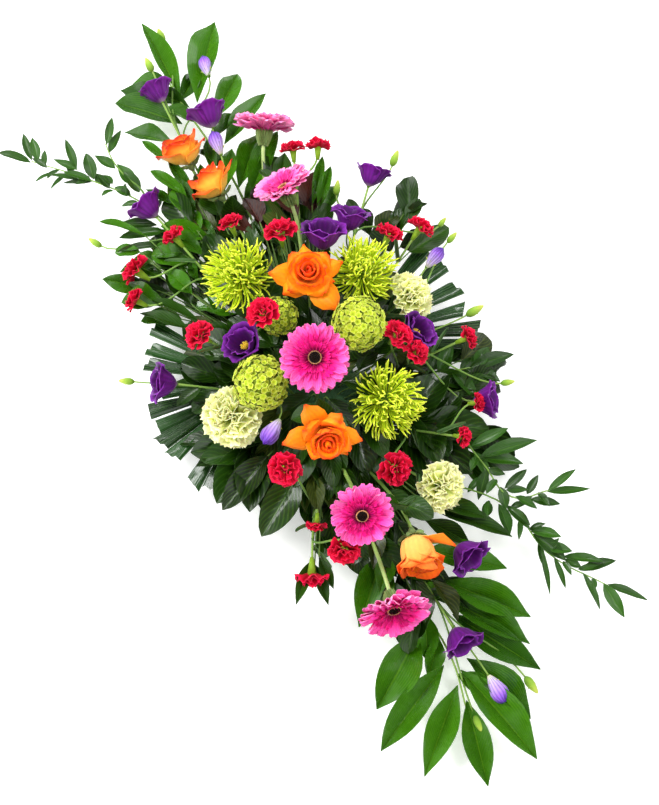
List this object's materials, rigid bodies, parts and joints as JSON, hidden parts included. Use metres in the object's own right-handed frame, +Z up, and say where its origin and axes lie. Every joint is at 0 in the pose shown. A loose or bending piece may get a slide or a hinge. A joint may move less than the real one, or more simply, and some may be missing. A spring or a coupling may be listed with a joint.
{
  "type": "double-ended funeral spray",
  "caption": "Double-ended spray of cut flowers and leaves set in wet foam on a shallow tray, low and long, with leafy tapered ends.",
  "frame": {"origin": "middle of the tray's flat underside, on the surface that it lies on", "axes": "+X along the spray towards its ruscus-leaved near end, +Y across it to its right, +Z up"},
  "size_m": [1.1529, 0.6036, 0.2613],
  "materials": {
    "tray_plastic": "dark green moulded plastic with a faint grain",
    "wet_foam": "soaked green flower foam, fine open cells, matt",
    "gerbera_petals": "hot pink rays with lighter tips and fine ribs, velvety",
    "orange_rose_petals": "orange petals, deeper at the edge, soft satin",
    "yellow_rose_petals": "yellow-orange petals tinged red at the tips, soft satin",
    "chrysanthemum_petals": "lime green quills, darker and greener towards the middle",
    "viburnum_florets": "pale lime florets, matt",
    "green_stems": "smooth green stems, calyxes and the blooms' own leaves",
    "carnation_petals": "pale cream-green ruffled petals, matt",
    "spray_carnation_petals": "cerise-red ruffled petals on grey-green cups",
    "lisianthus_petals": "deep violet petals, paler at the base, soft satin",
    "ruscus_leaves": "dark glossy leaves with fine parallel veins",
    "soft_ruscus_leaves": "mid-green satin leaves on thin stems",
    "salal_leaves": "dark leathery leaves with a pale midrib",
    "palm_blades": "dark pleated blades with a waxy gloss"
  },
  "bodies": {
    "root": {"tray": "tray_plastic", "foam": "wet_foam", "gerbera_1_head": "gerbera_petals", "gerbera_2_head": "gerbera_petals", "gerbera_3_head": "gerbera_petals", "gerbera_4_head": "gerbera_petals", "gerbera_5_head": "gerbera_petals", "rose_1_head": "orange_rose_petals", "rose_2_head": "orange_rose_petals", "rose_3_head": "orange_rose_petals", "rose_4_head": "yellow_rose_petals", "rose_5_head": "yellow_rose_petals", "viburnum_1_head": "viburnum_florets", "viburnum_2_head": "viburnum_florets", "viburnum_3_head": "viburnum_florets", "chrysanthemum_1_head": "chrysanthemum_petals", "chrysanthemum_2_head": "chrysanthemum_petals", "chrysanthemum_3_head": "chrysanthemum_petals", "carnation_1": "carnation_petals", "carnation_2": "carnation_petals", "carnation_3": "carnation_petals", "spray_carnation_far": "spray_carnation_petals", "spray_carnation_far_left": "spray_carnation_petals", "spray_carnation_left": "spray_carnation_petals", "spray_carnation_far_right": "spray_carnation_petals", "spray_carnation_right": "spray_carnation_petals", "spray_carnation_near_right": "spray_carnation_petals", "spray_carnation_near": "spray_carnation_petals", "lisianthus_far": "lisianthus_petals", "lisianthus_far_left": "lisianthus_petals", "lisianthus_far_right": "lisianthus_petals", "lisianthus_right": "lisianthus_petals", "lisianthus_left": "lisianthus_petals", "lisianthus_near": "lisianthus_petals", "palm_left": "palm_blades", "palm_right": "palm_blades", "gerbera_1_stem": "green_stems", "gerbera_2_stem": "green_stems", "gerbera_3_stem": "green_stems", "gerbera_4_stem": "green_stems", "gerbera_5_stem": "green_stems", "rose_1_stem": "green_stems", "rose_2_stem": "green_stems", "rose_3_stem": "green_stems", "rose_4_stem": "green_stems", "rose_5_stem": "green_stems", "viburnum_1_stem": "green_stems", "viburnum_2_stem": "green_stems", "viburnum_3_stem": "green_stems", "chrysanthemum_1_stem": "green_stems", "chrysanthemum_2_stem": "green_stems", "chrysanthemum_3_stem": "green_stems", "ruscus_far": "ruscus_leaves", "ruscus_near": "ruscus_leaves", "soft_ruscus_far_left": "soft_ruscus_leaves", "soft_ruscus_near_right": "soft_ruscus_leaves", "soft_ruscus_right": "soft_ruscus_leaves", "soft_ruscus_middle_right": "soft_ruscus_leaves", "salal_left": "salal_leaves", "salal_right": "salal_leaves"}
  },
  "joints": []
}
